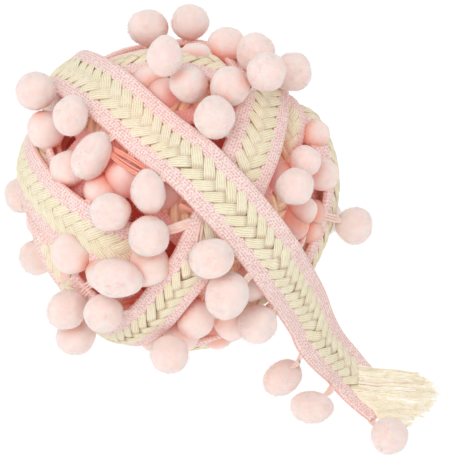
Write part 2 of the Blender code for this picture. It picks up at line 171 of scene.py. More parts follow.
def crown_axes():
    """Right, top and out: the crown is the side of the ball that leans towards the front."""
    lean = radians(LEAN)
    right = Vector((1.0, 0.0, 0.0))
    top = Vector((0.0, cos(lean), sin(lean)))
    return right, top, right.cross(top)


RIGHT, TOP, OUT = crown_axes()


def towards(clock, drop):
    c, d = radians(clock), radians(drop)
    rim = RIGHT * sin(c) + TOP * cos(c)
    return OUT * cos(d) + rim * sin(d)


def on_ball(direction, radius):
    return CENTRE + Vector((direction.x, direction.y, direction.z * SAG)) * radius


def smooth_step(x):
    x = max(0.0, min(1.0, x))
    return x * x * (3 - 2 * x)


class Circle:
    """A turn's middle line on the unit ball, with how far it is lifted over the turns below it."""

    SAMPLES = 144

    def __init__(self, turn, below, layer):
        near = towards(turn.near_clock, turn.near_drop)
        bow = radians(turn.bow)
        self.ahead = near.cross(OUT).normalized()
        great_pole = near.cross(self.ahead)
        self.pole = great_pole * cos(bow) + near * sin(bow)
        self.near = near * cos(bow) - great_pole * sin(bow)
        self.bow = bow
        self.lifts = [self.lift_over(360.0 * k / self.SAMPLES, below, layer) for k in range(self.SAMPLES)]
        self.ease()

    def at(self, along):
        a = radians(along)
        ring = self.near * cos(a) + self.ahead * sin(a)
        return self.pole * sin(self.bow) + ring * cos(self.bow)

    def off(self, direction):
        return abs(asin(max(-1.0, min(1.0, self.pole.dot(direction)))) - self.bow)

    def past_rim(self, direction):
        """How far outside the tape's rim that place is, less than 0 on the tape."""
        return self.off(direction) * TAPE_SEAT - TAPE_WIDTH / 2

    def along(self, direction):
        return degrees(atan2(direction.dot(self.ahead), direction.dot(self.near)))

    def lift(self, along):
        place = (along % 360.0) * self.SAMPLES / 360.0
        low = int(place) % self.SAMPLES
        share = place - int(place)
        return self.lifts[low] * (1 - share) + self.lifts[(low + 1) % self.SAMPLES] * share

    def lift_over(self, along, below, layer):
        most = 0.0
        for other in below:
            for share in (-1.0, -0.5, 0.0, 0.5, 1.0):
                place = self.aside(along, share * TAPE_WIDTH / 2)
                rise = 1 - smooth_step(other.past_rim(place) / RAMP)
                most = max(most, (other.lift(other.along(place)) + layer) * rise)
        return most

    def ease(self):
        for _ in range(3):
            n = self.SAMPLES
            self.lifts = [
                max(self.lifts[k], (self.lifts[k - 1] + self.lifts[(k + 1) % n]) / 2) for k in range(n)
            ]

    def aside(self, along, across):
        middle = self.at(along)
        away = (middle * self.pole.dot(middle) - self.pole).normalized()
        turn = across / TAPE_SEAT
        return (middle * cos(turn) + away * sin(turn)).normalized()


def circles_of_turns():
    made = {}
    for turn in TURNS:
        layer = LOOSE_LAYER if turn.name == "last" else LAYER
        below = [c for name, c in made.items() if name not in HIDDEN]
        made[turn.name] = Circle(turn, below, layer)
    return made


def dive(turn, along):
    if turn.end - turn.start >= 360:
        return 0.0
    if turn.name == "last":
        return LAST_DIVE * (1 - smooth_step((along - turn.start) / LAST_DIVE_DEGREES))
    from_end = min(along - turn.start, turn.end - along)
    return DIVE * (1 - smooth_step(from_end / DIVE_DEGREES))


def bulge(turn, along):
    """How much further out the bulging turn lies there."""
    if turn.name != BULGING:
        return 0.0
    share = min(1.0, abs(along - BULGE_AT) / BULGE_REACH)
    return BULGE * cos(share * pi / 2) ** 2


CIRCLES = circles_of_turns()
PRESS = 3.1 * MM  # how far a turn is pressed in where another passes over it
PRESS_RAMP = 6.0 * MM
ACROSS_SHARES = (-1.0, -0.5, 0.0, 0.5, 1.0)


def passes(turn, direction):
    """Whether a turn goes by that place between its start and its end."""
    return (CIRCLES[turn.name].along(direction) - turn.start) % 360 < turn.end - turn.start


def pressed_in(number, direction):
    """How far the turns above turn number press it in at that place."""
    pressed = 0.0
    for other in TURNS[number + 1 :]:
        if other.name != "last" and passes(other, direction):
            pressed += PRESS * (1 - smooth_step(CIRCLES[other.name].past_rim(direction) / PRESS_RAMP))
    return min(pressed, PRESS * 2)


# -------- routes of the tape


def rows_of(points):
    return np.array([tuple(point) for point in points])


def unit_rows(rows):
    return rows / np.linalg.norm(rows, axis=1)[:, None]


def runs_along(rows):
    """How far along a line each of its points is."""
    return np.concatenate([[0.0], np.cumsum(np.linalg.norm(np.diff(rows, axis=0), axis=1))])


def rows_between(values, runs, run):
    """The values of a line at other places along it."""
    return np.column_stack([np.interp(run, runs, values[:, k]) for k in range(values.shape[1])])


def ramp(values, start, over):
    return np.clip((values - start) / over, 0, 1)


# A stretch where the tape is drawn narrower: it starts and ends there, over that ramp.
Pinch = namedtuple("Pinch", "start end ramp share")
SLANT_PINCH = Pinch(184.0 * MM, 262.0 * MM, 24.0 * MM, 0.78)


class Route:
    """A stretch of tape: its middle line, the way to its pompom edge and the way its face looks."""

    def __init__(self, middles, faces, presses=None, cupped=1.0):
        self.middles = rows_of(middles)
        self.runs = runs_along(self.middles)
        self.length = float(self.runs[-1])
        ahead = unit_rows(np.gradient(self.middles, self.runs, axis=0))
        self.sides = unit_rows(np.cross(ahead, rows_of(faces)))
        self.faces = np.cross(self.sides, ahead)
        unpressed = np.zeros((len(self.runs), len(ACROSS_SHARES)))
        self.presses = unpressed if presses is None else np.array(presses)
        self.cupped = cupped
        self.pinches = []

    def width_share(self, run):
        shares = np.ones_like(run)
        for pinch in self.pinches:
            ease = [ramp(run, start, pinch.ramp) for start in (pinch.start, pinch.end)]
            ease = [t * t * (3 - 2 * t) for t in ease]
            shares = shares * (1 - (1 - pinch.share) * ease[0] * (1 - ease[1]))
        return shares

    def press(self, run, across):
        rows = rows_between(self.presses, self.runs, run)
        place = np.clip((across / (TAPE_WIDTH / 2) + 1) * 2, 0, 3.999)
        low = place.astype(int)
        share = place - low
        pick = np.arange(len(run))
        return rows[pick, low] * (1 - share) + rows[pick, low + 1] * share

    def bend(self, flat):
        """Places on the tape, as rows of run, across and height, into places in the room."""
        run, across, height = flat.T
        past = run - np.clip(run, 0, self.length)
        sunk = height - self.press(run, across) - self.cupped * across**2 / (2 * TAPE_SEAT)
        lines = (self.middles, self.sides, self.faces)
        middles, sides, faces = (rows_between(line, self.runs, run) for line in lines)
        made = middles + sides * (across * self.width_share(run))[:, None]
        made += faces * sunk[:, None] + np.cross(faces, sides) * past[:, None]
        made[:, 2] = np.maximum(made[:, 2], FLOOR_GAP)
        return made

    def point(self, run, across, height):
        return Vector(self.bend(np.array([[run, across, height]]))[0])


def route_of_turn(number, turn, circle, sink=0.0):
    middles, faces, presses = [], [], []
    count = round(turn.end - turn.start)
    for k in range(count + 1):
        along = turn.start + (turn.end - turn.start) * k / count
        direction = circle.at(along)
        seat = TAPE_SEAT + circle.lift(along) + bulge(turn, along) - dive(turn, along)
        middles.append(on_ball(direction, seat - sink))
        faces.append(direction)
        places = [circle.aside(along, share * TAPE_WIDTH / 2) for share in ACROSS_SHARES]
        presses.append([0.0 if sink else pressed_in(number, place) for place in places])
    return Route(middles, faces, presses)


def smooth_line(points, fine=12):
    """Points along a smooth curve through the given ones."""
    ends = [points[0] * 2 - points[1], *points, points[-1] * 2 - points[-2]]
    made = []
    for a, b, c, d in zip(ends, ends[1:], ends[2:], ends[3:]):
        for k in range(fine):
            t = k / fine
            curve = a * (-t + 2 * t**2 - t**3) + b * (2 - 5 * t**2 + 3 * t**3)
            curve += c * (t + 4 * t**2 - 3 * t**3) + d * (t**3 - t**2)
            made.append(curve / 2)
    return [*made, points[-1]]


def route_of_loose_end(circle):
    middles, faces = [], []
    count = round((LOOSE_LEAVES - LOOSE_FROM) / 6.0)
    for k in range(count + 1):
        along = LOOSE_FROM + (LOOSE_LEAVES - LOOSE_FROM) * k / count
        direction = circle.at(along)
        middles.append(on_ball(direction, TAPE_SEAT + circle.lift(along)))
        faces.append(direction)
    for step in FALL:
        middles.append(Vector((step.x, step.y, step.z)) * MM)
        faces.append(Vector(step.face).normalized())
    route = Route(smooth_line(middles), smooth_line(faces), cupped=0.0)
    route.pinches = [Pinch(route.length - NARROWS_OVER, route.length, NARROWS_OVER, CUT_WIDTH)]
    return route


# -------- meshes


def mesh_of(edit, name):
    """A mesh of what is in the edit, which it then closes."""
    mesh = bpy.data.meshes.new(name)
    edit.to_mesh(mesh)
    edit.free()
    return mesh


def in_scene(name, data):
    made = bpy.data.objects.new(name, data)
    bpy.context.scene.collection.objects.link(made)
    return made


def sleeve(rows, section):
    """A closed sleeve: rows along x from 0 to 1, and section its corners (y, z), in order."""
    edit = bmesh.new()
    edit.loops.layers.uv.new("UVMap")
    columns = len(section)
    bmesh.ops.create_grid(edit, x_segments=rows, y_segments=columns, size=0.5, calc_uvs=True)
    for vertex in edit.verts:
        y, z = section[round((vertex.co.y + 0.5) * columns) % columns]
        vertex.co = (vertex.co.x + 0.5, y, z)
    bmesh.ops.remove_doubles(edit, verts=edit.verts, dist=1e-6)
    ends = [edge for edge in edit.edges if edge.is_boundary]
    bmesh.ops.holes_fill(edit, edges=ends, sides=columns)
    bmesh.ops.recalc_face_normals(edit, faces=edit.faces)
    return mesh_of(edit, "sleeve")


def corners_of(mesh):
    flat = np.zeros(len(mesh.vertices) * 3)
    mesh.vertices.foreach_get("co", flat)
    return flat.reshape(-1, 3)


def copies(mesh, count):
    """One mesh of that many copies of another, one after the other."""
    edit = bmesh.new()
    for _ in range(count):
        edit.from_mesh(mesh)
    return mesh_of(edit, "copies")


def set_corners(mesh, places):
    mesh.vertices.foreach_set("co", np.asarray(places, np.float32).ravel())
    mesh.update()


def set_attribute(mesh, name, values):
    layer = mesh.attributes.new(name, "FLOAT", "POINT")
    layer.data.foreach_set("value", np.asarray(values, np.float32).ravel())


def piece(name, meshes, material):
    """One object from several meshes, facing out and shaded smooth, riding on the part."""
    edit = bmesh.new()
    for mesh in meshes:
        edit.from_mesh(mesh)
    edit.normal_update()
    bmesh.ops.recalc_face_normals(edit, faces=edit.faces)
    joined = mesh_of(edit, name)
    joined.shade_smooth()
    joined.materials.append(material)
    made = in_scene(name, joined)
    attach(made, "root")
    return made


# -------- materials

SCATTER = (1.0, 0.4, 0.3)  # how far red, green and blue light goes into the yarn, as shares


class Finish:
    """A material made node by node."""

    def __init__(self, name, roughness, sheen=0.0, subsurface=0.0):
        self.material = bpy.data.materials.new(name)
        self.material.use_nodes = True
        self.nodes = self.material.node_tree.nodes
        self.links = self.material.node_tree.links
        self.shader = self.nodes["Principled BSDF"]
        self.tune({"Roughness": roughness, "Specular IOR Level": 0.15})
        if sheen:
            self.tune({"Sheen Weight": sheen, "Sheen Roughness": 0.6})
        if subsurface:
            self.tune({"Subsurface Weight": subsurface, "Subsurface Radius": SCATTER})
            self.tune({"Subsurface Scale": 4.0 * MM})

    def put(self, socket, value):
        if isinstance(value, bpy.types.NodeSocket):
            self.links.new(value, socket)
        elif value is not None:
            socket.default_value = value

    def tune(self, values):
        for name, value in values.items():
            self.put(self.shader.inputs[name], value)

    def node(self, kind, inputs=None):
        """A node of that kind, with values or links for its inputs."""
        made = self.nodes.new(f"ShaderNode{kind}")
        for name, value in (inputs or {}).items():
            self.put(made.inputs[name], value)
        return made

    def place(self, kind="Object"):
        """Places on the piece, or its own UV map."""
        return self.node("TexCoord").outputs[kind]

    def attribute(self, name):
        node = self.node("Attribute")
        node.attribute_name = name
        return node.outputs["Fac"]

    def maths(self, operation, a, b=None):
        node = self.node("Math", {0: a, 1: b})
        node.operation = operation
        return node.outputs[0]

    def noise(self, scale, detail=2.0):
        inputs = {"Vector": self.place(), "Scale": scale, "Detail": detail}
        return self.node("TexNoise", inputs).outputs["Fac"]

    def depth(self, low, high):
        """0 that far down in the ball, 1 that far out."""
        node = self.node("VectorMath", {0: self.place(), 1: CENTRE})
        node.operation = "DISTANCE"
        return self.spread(node.outputs["Value"], low, high)

    def glow(self, strength):
        """Painted glow: coral emission, stronger further down in the ball, standing in for light scattered
        in the yarn.
        """
        deep = self.maths("MULTIPLY", self.spread(self.depth(*GLOW_DEPTHS), 1.0, 0.0), strength)
        self.tune({"Emission Color": (*CORAL, 1.0), "Emission Strength": deep})

    def spread(self, value, low, high, to_low=0.0, to_high=1.0):
        limits = {"From Min": low, "From Max": high, "To Min": to_low, "To Max": to_high}
        return self.node("MapRange", {"Value": value, **limits}).outputs["Result"]

    def mix(self, share, a, b):
        node = self.node("Mix", {"Factor": share})
        node.data_type = "RGBA"
        colours = [socket for socket in node.inputs if socket.type == "RGBA"]
        for socket, value in zip(colours, (a, b)):
            self.put(socket, value if isinstance(value, bpy.types.NodeSocket) else (*value, 1.0))
        return [socket for socket in node.outputs if socket.type == "RGBA"][0]

    def bump(self, height, distance):
        node = self.node("Bump", {"Height": height, "Distance": distance, "Strength": 0.6})
        self.tune({"Normal": node.outputs["Normal"]})

    def colour(self, value):
        self.tune({"Base Color": value})
        return self.material


def tinted(colour, shares):
    return tuple(part * share for part, share in zip(colour, shares))


THREADS = 5  # in one strand of the plait
# Painted shade: how far out from the middle of the ball the tape and the yarn are tinted deep coral, and
# from where they have their own colour; the painted glow fades out over GLOW_DEPTHS.
TAPE_DEPTHS = (43.0 * MM, 56.0 * MM)
YARN_DEPTHS = (44.0 * MM, 58.0 * MM)
GLOW_DEPTHS = (44.0 * MM, 62.0 * MM)


def plait_finish(name, light, line, dark, deep):
    """Cotton threads side by side, with a fine twist on each; painted shade in tan lines between the
    threads and, by the lit attribute, on low and tucked parts.
    """
    finish = Finish(name, 0.9, sheen=0.1)
    along, across, _ = finish.node("SeparateXYZ", {0: finish.place("UV")}).outputs
    lit = finish.attribute("lit")
    tone = finish.attribute("tone")
    stray = finish.spread(finish.noise(420.0), 0.3, 0.7, -0.7, 0.7)
    turns = finish.maths("MULTIPLY", across, pi * (THREADS + 1.5))
    thread = finish.maths("ABSOLUTE", finish.maths("SINE", finish.maths("ADD", turns, stray)))
    faded_groove_shade = finish.spread(finish.noise(500.0), 0.35, 0.65, 0.0, 0.8)
    body = finish.mix(tone, light, tinted(light, (0.985, 0.97, 0.90)))
    crest = finish.maths("MAXIMUM", finish.spread(thread, 0.1, 0.65), faded_groove_shade)
    # Painted shade: tan lines in the grooves between threads, faded out in random patches.
    body = finish.mix(crest, line, body)
    # Painted shade: darker where the lit attribute is low, on low parts, tucked ends and sides of the
    # strands.
    body = finish.mix(lit, dark, body)
    # Painted shade: the deep tint down in the ball.
    body = finish.mix(finish.depth(*TAPE_DEPTHS), deep, body)
    finish.glow(0.25)
    slants = [finish.maths("MULTIPLY", place, pace) for place, pace in ((across, 60.0), (along, 70.0))]
    twist = finish.maths("ADD", *slants)
    ply = finish.maths("MULTIPLY", finish.maths("SINE", twist), 0.15)
    finish.bump(finish.maths("ADD", thread, ply), 0.16 * MM)
    return finish.colour(body)


def edge_finish(name, light, mark, deep):
    """A fine knit: every stitch is painted light on top, with painted mauve shade in the dips between the
    stitches and painted shade along the rims.
    """
    finish = Finish(name, 0.9, sheen=0.1)
    sides = [finish.maths("FRACT", finish.attribute(name)) for name in ("stitch", "wale")]
    sides = [finish.spread(side, 0.0, 1.0, -1.0, 1.0) for side in sides]
    squares = [finish.maths("MULTIPLY", side, side) for side in sides]
    off_middle = finish.maths("ADD", *squares)
    grain = finish.noise(1600.0)
    ragged = finish.maths("ADD", off_middle, finish.spread(grain, 0.3, 0.7, -1.0, 1.0))
    loop = finish.spread(ragged, 1.6, 0.3)
    patches = finish.spread(finish.noise(260.0), 0.35, 0.65)
    body = finish.mix(patches, light, tinted(light, (0.99, 0.95, 0.96)))
    # Painted shade: mauve in the dips between the stitches.
    body = finish.mix(loop, mark, body)
    # Painted shade along both rims of the edge.
    wale = finish.attribute("wale")
    outer_rim = finish.spread(wale, 5.75, 6.1, 0.0, 0.35)
    inner_rim = finish.spread(wale, 0.3, 0.0, 0.0, 0.4)
    rim = finish.maths("MAXIMUM", outer_rim, inner_rim)
    body = finish.mix(rim, body, ROSE)
    # Painted shade: the deep tint down in the ball.
    body = finish.mix(finish.depth(*TAPE_DEPTHS), deep, body)
    finish.glow(0.24)
    finish.bump(finish.maths("ADD", loop, finish.maths("MULTIPLY", grain, 0.4)), 0.2 * MM)
    return finish.colour(body)


def yarn_finish(name, light, shade, deep, scale, depth, subsurface, sheen=0.2, glow=0.24, painted_self_glow=0.0):
    """Soft fluffy yarn, a little uneven in colour, with painted shade in its creases and deep in the ball,
    and a painted glow.
    """
    finish = Finish(name, 0.95, sheen=sheen, subsurface=subsurface)
    tuft = finish.noise(scale, 3.0)
    patches = finish.noise(scale * 0.22)
    body = finish.mix(finish.spread(patches, 0.35, 0.65), light, shade)
    # Painted shade in the creases against neighbours.
    body = finish.mix(finish.attribute("painted_crease_shade"), body, ROSE)
    # Painted shade: the deep tint down in the ball.
    body = finish.mix(finish.depth(*YARN_DEPTHS), deep, body)
    # Painted glow: an even glow in the yarn's light colour, instead of the coral one.
    if painted_self_glow:
        finish.tune({"Emission Color": (*light, 1.0), "Emission Strength": painted_self_glow})
    else:
        finish.glow(glow)
    finish.bump(tuft, depth)
    return finish.colour(body)


# Colours of painted shade: CORAL deep in the ball and for the painted glow, ROSE in creases and along the
# knit's rims, the deepest red in the inner winding, APRICOT for the cream deep in the ball.
CORAL = (0.72, 0.13, 0.09)
ROSE = (0.90, 0.40, 0.29)
DEEPEST_SHADE_RED = (0.50, 0.05, 0.03)
APRICOT = (0.80, 0.36, 0.18)
# Cream plait: the tan line colour and the brown are painted shade.
CREAM = plait_finish("cream_cotton", (0.92, 0.85, 0.67), (0.64, 0.54, 0.33), (0.36, 0.18, 0.07), APRICOT)
# Pink knit: the mauve is painted shade.
PINK = edge_finish("pink_knit", (0.965, 0.80, 0.76), (0.78, 0.45, 0.40), CORAL)
BLUSH = yarn_finish("blush_yarn", (0.93, 0.765, 0.715), (0.92, 0.725, 0.67), CORAL, 1500.0, 0.25 * MM, 0.6)
CORD = yarn_finish("cord_yarn", (0.93, 0.75, 0.67), (0.90, 0.64, 0.56), CORAL, 2500.0, 0.12 * MM, 0.0)
FRAY = yarn_finish(
    "frayed_cotton", (0.98, 0.92, 0.79), (0.95, 0.86, 0.66), APRICOT, 2200.0, 0.1 * MM,
    subsurface=0.0, sheen=0.0, painted_self_glow=0.06,
)
# Painted shade: dark red yarn for the inner winding, deep down between the pompoms.
PAINTED_SHADE_CORE = yarn_finish(
    "painted_shade_deep_yarn", (0.62, 0.08, 0.05), (0.42, 0.03, 0.02), DEEPEST_SHADE_RED, 320.0, 1.2 * MM, subsurface=0.0, glow=0.08
)

# -------- the plait

PLAIT_PITCH = 5.4 * MM  # between two strands on the same side
STRAND_WIDTH = 4.3 * MM
STRAND_FOOT = 1.3 * MM  # how far out under the edge of the tape a strand starts
STRAND_OVER = 1.6 * MM  # how far it goes past the middle, where it is out of sight
STRAND_DOME = 0.5 * MM
STRAND_BODY = 1.5 * MM
STRAND_BOW = 0.35 * MM
STRAND_STRAY = 0.22  # how far from its even place a strand starts, in mm
DIAGONAL = sqrt(0.5)  # strands lie at 45 degrees
GROOVE = 0.14 * MM  # between two threads
STRAND_SHARES = (0.0, 0.16, 0.35, 0.6, 0.78, 0.89, 1.0)
STRAND_HEIGHTS = (2.2, 2.9, 3.3, 3.5, 3.5, 2.6, 1.5)
STRAND_WIDTHS = (1.04, 1.03, 1.02, 1.02, 1.0, 0.94, 0.86)
END_FROM = 0.64  # share of a strand where painted shade starts, darker towards the strand that it goes under
END_OVER = 0.15
END_DARK = 0.22  # how dark the painted shade is there, as a share of the darkest
GAPE = 0.09  # how much narrower the strands are where the plait is loosest
# What END_DARK, the painted shade at the strands' ends, is where the plait is looser: rows of a place along
# the tape and the share there.
SLANT_DARK = ((0.0, 0.3), (0.18, 0.35), (0.20, 1.0), (0.40, 1.0))
TURN_DARK = {"slant": SLANT_DARK, "left_cheek": ((0.0, 0.65),), "brow": ((0.0, 0.5),)}
LOOSE_DARK = ((0.0, 0.12), (0.06, 0.2), (0.10, 0.45), (0.13, 0.8), (0.19, 0.7), (0.25, 0.5))


def strand_section(threads):
    """Corners of a strand: a groove and a crest for each thread on top, and two corners underneath."""
    steps = threads * 2
    top = [(-1 + 2 * k / steps, 1.0) for k in range(steps + 1)]
    return [*top, (0.55, 0.0), (-0.55, 0.0)]


FINE_STRAND = sleeve(8, strand_section(THREADS))
PLAIN_STRAND = sleeve(4, strand_section(1))


def plait_strands(route, start, stop, template, threads, dark):
    """The strands of a stretch of plait: from each side in turn, slanting ahead to the middle."""
    half, pitch = PLAIT_WIDTH / 2, PLAIT_PITCH
    share, side_share, on_top = corners_of(template).T
    strands, tones, shades = [], [], []
    for side in (-1, 1):
        for k in range(int((stop - start) / pitch)):
            stray = DICE.uniform(-STRAND_STRAY, STRAND_STRAY) * MM
            foot = start + pitch * (k + (0.5 if side > 0 else 0.0)) + stray - STRAND_FOOT
            darkness = np.interp(foot, *zip(*dark))
            wide = STRAND_WIDTH * DICE.uniform(0.95, 1.04) * (1 - GAPE * darkness)
            tall = DICE.uniform(-0.16, 0.16) * MM
            slope = DICE.uniform(0.94, 1.06)
            over = side_share * wide / 2 * np.interp(share, STRAND_SHARES, STRAND_WIDTHS)
            reach = (STRAND_FOOT + half + STRAND_OVER) * share - STRAND_FOOT
            run = foot + (reach + STRAND_FOOT) * slope - over * DIAGONAL
            run += STRAND_BOW * np.sin(pi * share)
            across = reach - half + over * DIAGONAL
            crest = np.abs(np.sin((side_share + 1) / 2 * pi * threads))
            top = np.interp(share, STRAND_SHARES, STRAND_HEIGHTS) * MM + tall
            top = top - STRAND_DOME * side_share**2
            height = np.where(on_top > 0.5, top - GROOVE * (1 - crest), top - STRAND_BODY)
            strands.append(np.column_stack([run, -side * across, height]))
            tones.append(np.full(len(share), DICE.random()))
            # Painted shade at the strand's tucked end and along its sides.
            ended = ramp(share, END_FROM, END_OVER) * DICE.uniform(0.4, 1.0)
            rimmed = ramp(np.abs(side_share), 0.8, 0.2)
            shades.append(1 - darkness * np.maximum(ended, rimmed))
    made = copies(template, len(strands))
    flat = np.concatenate(strands)
    set_corners(made, route.bend(flat))
    # Painted shade: the low parts of the strands are darker.
    raised = ramp(flat[:, 2], 1.1 * MM, 1.2 * MM)
    set_attribute(made, "lit", (0.1 + 0.9 * raised) * np.concatenate(shades))
    set_attribute(made, "tone", np.concatenate(tones))
    return made


GROUND_WIDTH = PLAIT_WIDTH + 1.0 * MM  # the cloth under the plait, which goes on under both edges
GROUND_LIT = 0.2  # painted shade: how lit the cloth between the strands is painted, as a share of their own colour


def ground_band(route, start, end, bottom, top, step):
    """The cloth under the plait, between two heights."""
    rows = max(2, round((end - start) / step))
    template = sleeve(rows, [(0, 1), (0.5, 1), (1, 1), (1, 0), (0, 0)])
    along, aside, up = corners_of(template).T
    run = start + (end - start) * along
    across = GROUND_WIDTH * aside - GROUND_WIDTH / 2
    height = bottom + (top - bottom) * up
    set_corners(template, route.bend(np.column_stack([run, across, height])))
    set_attribute(template, "lit", np.full(len(run), GROUND_LIT))
    set_attribute(template, "tone", np.full(len(run), 0.5))
    return template


# -------- the knitted edges

STITCH = 1.35 * MM  # length of a stitch
WALES = 6  # columns of stitches across an edge
FINE = 2  # steps of the mesh along and across each stitch
STITCH_LEAN = 0.45  # of a stitch: neighbouring columns lean opposite ways, as a row of Vs
STITCH_RISE = 0.32 * MM
EDGE_CROWN = 0.35 * MM  # how much higher an edge is in its middle
EDGE_SHOULDER = 0.7 * MM  # how far it goes down at its rim


def edge_section():
    """Corners of an edge, from the plait outwards, and three more around its rim and underneath."""
    steps = WALES * FINE
    top = [(k / steps, 1.0) for k in range(steps + 1)]
    return [*top, (1.04, 0.5), (0.98, 0.0), (0.0, 0.0)]


def knitted_edge(route, start, stop, side):
    """One edge of the tape, from the plait to its rim, each stitch a small raised oval."""
    stitches = max(1, round((stop - start) / STITCH))
    template = sleeve(stitches * FINE, edge_section())
    along, aside, up = corners_of(template).T
    inner, outer = PLAIT_WIDTH / 2, TAPE_WIDTH / 2
    on_top = up > 0.9
    ended = (along < 1e-4) | (along > 1 - 1e-4)
    stitch_place = along * stitches
    wale_place = aside * WALES
    lean = STITCH_LEAN * np.abs(np.mod(wale_place + 1, 2) - 1)
    run = start + (stop - start) * (along - np.where(on_top & ~ended, lean / stitches, 0.0))
    across = side * (inner + (outer - inner) * aside)
    sides = [2 * np.mod(place + 1e-4, 1) - 1 for place in (stitch_place, wale_place)]
    oval = np.clip(1 - sides[0] ** 2 - sides[1] ** 2, 0, 1)
    rise = STITCH_RISE * oval * DICE_ROWS.uniform(0.3, 1.0, len(run))
    shoulder = ramp(aside, 0.86, 0.14) ** 2 * EDGE_SHOULDER
    crown = EDGE_CROWN * np.sin(pi * np.clip(aside * 0.8 + 0.2, 0, 1))
    upper = EDGE_THICK + crown + rise - shoulder
    lower = EDGE_THICK * up * 0.8 + 0.2 * MM
    height = np.where(on_top, upper, lower)
    set_corners(template, route.bend(np.column_stack([run, across, height])))
    set_attribute(template, "stitch", stitch_place)
    set_attribute(template, "wale", wale_place)
    return template


# -------- threads


def thread_section(sides):
    return [(cos(2 * pi * k / sides), sin(2 * pi * k / sides)) for k in range(sides)]


ASKEW = (0.31, 0.17, 0.93)  # a way that no thread takes


def thread_mesh(lines, radii, rows, sides):
    """A thread along each line of points, thinner towards its end where radii say so."""
    template = sleeve(rows, thread_section(sides))
    share, y, z = corners_of(template).T
    places = []
    for line, (thick, thin) in zip(lines, radii):
        line = rows_of(line)
        runs = runs_along(line)
        run = share * runs[-1]
        middle = rows_between(line, runs, run)
        ahead = unit_rows(rows_between(np.gradient(line, runs, axis=0), runs, run))
        side = unit_rows(np.cross(ahead, ASKEW))
        up = np.cross(side, ahead)
        radius = thick + (thin - thick) * share
        place = middle + side * (y * radius)[:, None] + up * (z * radius)[:, None]
        place[:, 2] = np.maximum(place[:, 2], FLOOR_GAP)
        places.append(place)
    made = copies(template, len(lines))
    set_corners(made, np.concatenate(places))
    return made


# -------- pompoms

YARN_RADIUS = 7.0 * MM  # of the clipped yarn, without the fluff that stands off it
FUZZ = 700  # hairs on a pompom that shows, and on one deep in the ball
SUNK_FUZZ = 240
FUZZ_RADIUS = 0.05 * MM


def any_way(dice):
    return Vector([dice.gauss(0, 1) for _ in range(3)])


def pompom_template(seed, fuzz=FUZZ):
    """A soft ball of cut yarn with its cord side up: a lumpy surface and the fluff that stands off it."""
    dice = random.Random(seed)
    edit = bmesh.new()
    bmesh.ops.create_icosphere(edit, subdivisions=4, radius=YARN_RADIUS)
    shift = Vector((seed * 3.7, seed * 1.3, 0.0))
    for vertex in edit.verts:
        way = vertex.co.normalized()
        lumps = noise.noise(way * 1.2 + shift) * 0.6 + noise.noise(way * 6.0 + shift) * 0.12
        pull = max(0.0, way.z - 0.75) * 4.0
        vertex.co += way * lumps * MM + Vector((0.0, 0.0, pull * pull * 0.4 * MM))
    for _ in range(fuzz):
        way = any_way(dice).normalized()
        length = dice.uniform(0.8, 1.6) * MM
        lean = (way + any_way(dice) * 0.35).normalized()
        turned = lean.to_track_quat("Z", "Y").to_matrix().to_4x4()
        place = Matrix.Translation(way * (YARN_RADIUS - 0.35 * MM) + lean * length / 2) @ turned
        bmesh.ops.create_cone(
            edit, cap_ends=True, segments=3, radius1=FUZZ_RADIUS, radius2=0.0, depth=length, matrix=place
        )
    return mesh_of(edit, "pompom")


POMPOMS = [pompom_template(seed) for seed in range(1, 4)]
SUNK_POMPOMS = [pompom_template(seed, SUNK_FUZZ) for seed in range(4, 7)]


NEAR = 26 * MM  # from middle to middle, within which neighbours are looked at
CREASE = 5.0 * MM  # how far from its neighbours a pompom's yarn still gets painted shade


def painted_crease_shade(places, centre, neighbours):
    """How far into a crease each place on a pompom is, which sets its painted shade: 1 where it touches a
    neighbour, 0 in the open.
    """
    near = neighbours[np.linalg.norm(neighbours[:, :3] - centre, axis=1) < NEAR]
    near = near[np.linalg.norm(near[:, :3] - centre, axis=1) > 1 * MM]
    if not len(near):
        return np.zeros(len(places))
    gaps = np.linalg.norm(places[:, None, :] - near[None, :, :3], axis=2) - near[None, :, 3]
    crease_shade_share = np.clip(1 - gaps / CREASE, 0, 1) ** 1.6
    return 1 - np.prod(1 - 0.8 * crease_shade_share, axis=1)


def pompom_at(centre, cord_way, number, stretch=1.0, squash=1.0, neighbours=None, templates=POMPOMS):
    """A pompom there, its cord side turned that way."""
    mesh = templates[number % len(templates)].copy()
    turned = cord_way.to_track_quat("Z", "Y").to_matrix()
    spin = Matrix.Rotation(number * 2.4, 3, "Z")
    size = Matrix.Diagonal((squash, squash * DICE.uniform(0.93, 1.03), stretch * DICE.uniform(0.97, 1.07)))
    matrix = np.array(turned @ size @ spin)
    places = corners_of(mesh) @ matrix.T + np.array(centre)
    places[:, 2] = np.maximum(places[:, 2], FLOOR_GAP)
    set_corners(mesh, places)
    crease_shade_share = np.zeros(len(places)) if neighbours is None else painted_crease_shade(places, np.array(centre), neighbours)
    set_attribute(mesh, "painted_crease_shade", crease_shade_share)
    return mesh


def is_at_back(direction):
    return direction.angle(OUT) > radians(BACK_DROP)


def is_on_turn(turn, direction):
    if turn.name in HIDDEN:
        return False
    last = turn.name == "last"
    off_tape = FILL_OFF_LOOSE if last else FILL_OFF_TAPE
    return (last or passes(turn, direction)) and CIRCLES[turn.name].past_rim(direction) < off_tape


